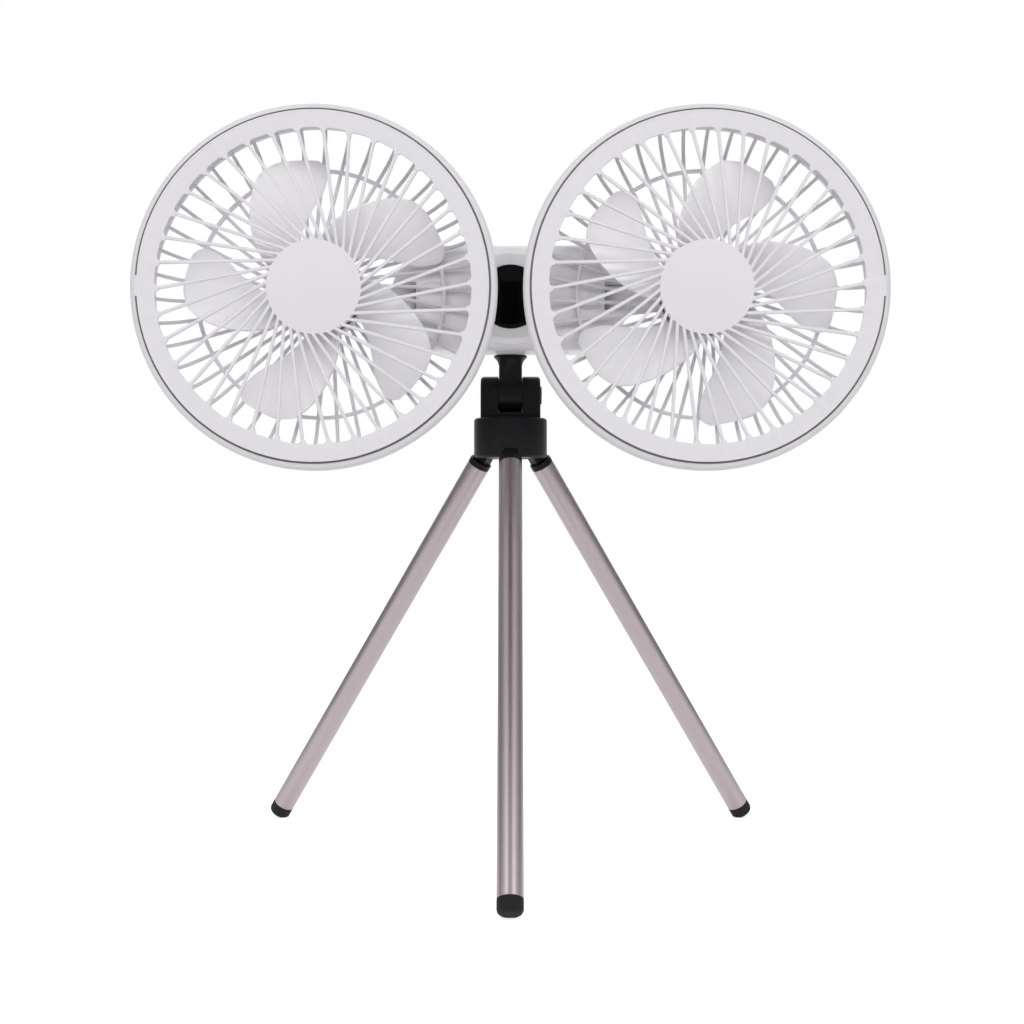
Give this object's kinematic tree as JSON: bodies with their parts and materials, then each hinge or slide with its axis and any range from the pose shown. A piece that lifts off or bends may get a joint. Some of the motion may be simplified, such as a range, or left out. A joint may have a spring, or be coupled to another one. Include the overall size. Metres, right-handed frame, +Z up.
{
  "type": "dual-head desk fan",
  "caption": "Battery fan with two round grilled heads on one body, on a tilting neck and a small three-legged folding stand.",
  "frame": {"origin": "on the floor, in the middle of the bounding box of the open stand", "axes": "+X to the viewer's right across the two heads, +Y away from the viewer, +Z up; both heads blow towards -Y"},
  "size_m": [0.3558, 0.2272, 0.3568],
  "materials": {
    "white_plastic": "white moulded plastic, soft satin",
    "black_plastic": "matt black moulded plastic",
    "black_gloss": "glossy black plastic",
    "anodised_aluminium": "satin anodised aluminium, warm grey",
    "black_rubber": "matt black rubber",
    "steel": "plain steel",
    "dark_steel": "blackened steel",
    "brass": "turned brass",
    "copper": "enamelled copper wire",
    "magnet": "sintered magnet",
    "board_green": "circuit board with solder mask",
    "cell_wrap": "shrink-wrapped battery cell",
    "clear_light": "milky light pipe"
  },
  "bodies": {
    "tripod_hub": {"tripod_hub": "black_plastic", "leg_axles": "steel"},
    "leg_front": {"leg_knuckle_front": "black_plastic", "leg_tube_front": "anodised_aluminium", "leg_foot_front": "black_rubber"},
    "leg_right": {"leg_knuckle_right": "black_plastic", "leg_tube_right": "anodised_aluminium", "leg_foot_right": "black_rubber"},
    "leg_left": {"leg_knuckle_left": "black_plastic", "leg_tube_left": "anodised_aluminium", "leg_foot_left": "black_rubber"},
    "yoke": {"tilt_yoke": "black_plastic", "pan_screw": "steel", "pan_washer": "steel", "hinge_bolt": "dark_steel", "hinge_nut": "dark_steel", "friction_washers": "black_plastic"},
    "power_unit": {"neck": "black_plastic", "mount_stud": "steel", "thread_insert": "brass", "body_front_shell": "white_plastic", "body_rear_shell": "white_plastic", "case_screws": "steel", "plug_screws": "steel", "screw_plugs": "white_plastic", "push_switch": "black_plastic", "main_board": "board_green", "charging_socket": "steel", "charge_lights": "clear_light", "battery_cells": "cell_wrap", "battery_tray": "black_plastic", "swivel_pins": "steel"},
    "button": {"power_button": "black_gloss"},
    "head_right": {"head_arm_right": "white_plastic", "arm_screws_right": "steel", "rear_housing_right": "white_plastic", "front_grille_right": "white_plastic", "stator_core_right": "steel", "stator_coils_right": "copper", "bearing_tube_right": "brass", "motor_bearings_right": "steel"},
    "fan_right": {"fan_blades_right": "white_plastic", "rotor_cup_right": "steel", "magnet_ring_right": "magnet", "motor_shaft_right": "steel"},
    "head_left": {"head_arm_left": "white_plastic", "arm_screws_left": "steel", "rear_housing_left": "white_plastic", "front_grille_left": "white_plastic", "stator_core_left": "steel", "stator_coils_left": "copper", "bearing_tube_left": "brass", "motor_bearings_left": "steel"},
    "fan_left": {"fan_blades_left": "white_plastic", "rotor_cup_left": "steel", "magnet_ring_left": "magnet", "motor_shaft_left": "steel"}
  },
  "joints": [
    {"name": "leg_front_fold", "type": "hinge", "parent": "tripod_hub", "child": "leg_front", "pos_m": [0, 0.02498, 0.20022], "axis": [1, 0, 0], "range_deg": [0, 34.2]},
    {"name": "leg_right_fold", "type": "hinge", "parent": "tripod_hub", "child": "leg_right", "pos_m": [0.00944, 0.04133, 0.20022], "axis": [-0.5, 0.866, 0], "range_deg": [0, 34.2]},
    {"name": "leg_left_fold", "type": "hinge", "parent": "tripod_hub", "child": "leg_left", "pos_m": [-0.00944, 0.04133, 0.20022], "axis": [-0.5, -0.866, 0], "range_deg": [0, 34.2]},
    {"name": "pan", "type": "hinge", "parent": "tripod_hub", "child": "yoke", "pos_m": [0, 0.03588, 0.21212], "axis": [0, 0, 1], "continuous": true},
    {"name": "tilt", "type": "hinge", "parent": "yoke", "child": "power_unit", "pos_m": [0, 0.03588, 0.22352], "axis": [1, 0, 0], "range_deg": [-60, 45]},
    {"name": "button_press", "type": "slide", "parent": "power_unit", "child": "button", "axis": [0, 1, 0], "range_m": [0, 0.0006], "stiffness_N_per_m": 400, "springref_m": -0.002},
    {"name": "head_right_swivel", "type": "hinge", "parent": "power_unit", "child": "head_right", "pos_m": [0.0526, 0.03588, 0.27077], "axis": [0, 0, 1], "range_deg": [0, 90]},
    {"name": "fan_right_spin", "type": "hinge", "parent": "head_right", "child": "fan_right", "pos_m": [0.0919, -0.00112, 0.27077], "axis": [0, -1, 0], "continuous": true},
    {"name": "head_left_swivel", "type": "hinge", "parent": "power_unit", "child": "head_left", "pos_m": [-0.0526, 0.03588, 0.27077], "axis": [0, 0, -1], "range_deg": [0, 90]},
    {"name": "fan_left_spin", "type": "hinge", "parent": "head_left", "child": "fan_left", "pos_m": [-0.0919, -0.00112, 0.27077], "axis": [0, -1, 0], "continuous": true}
  ]
}
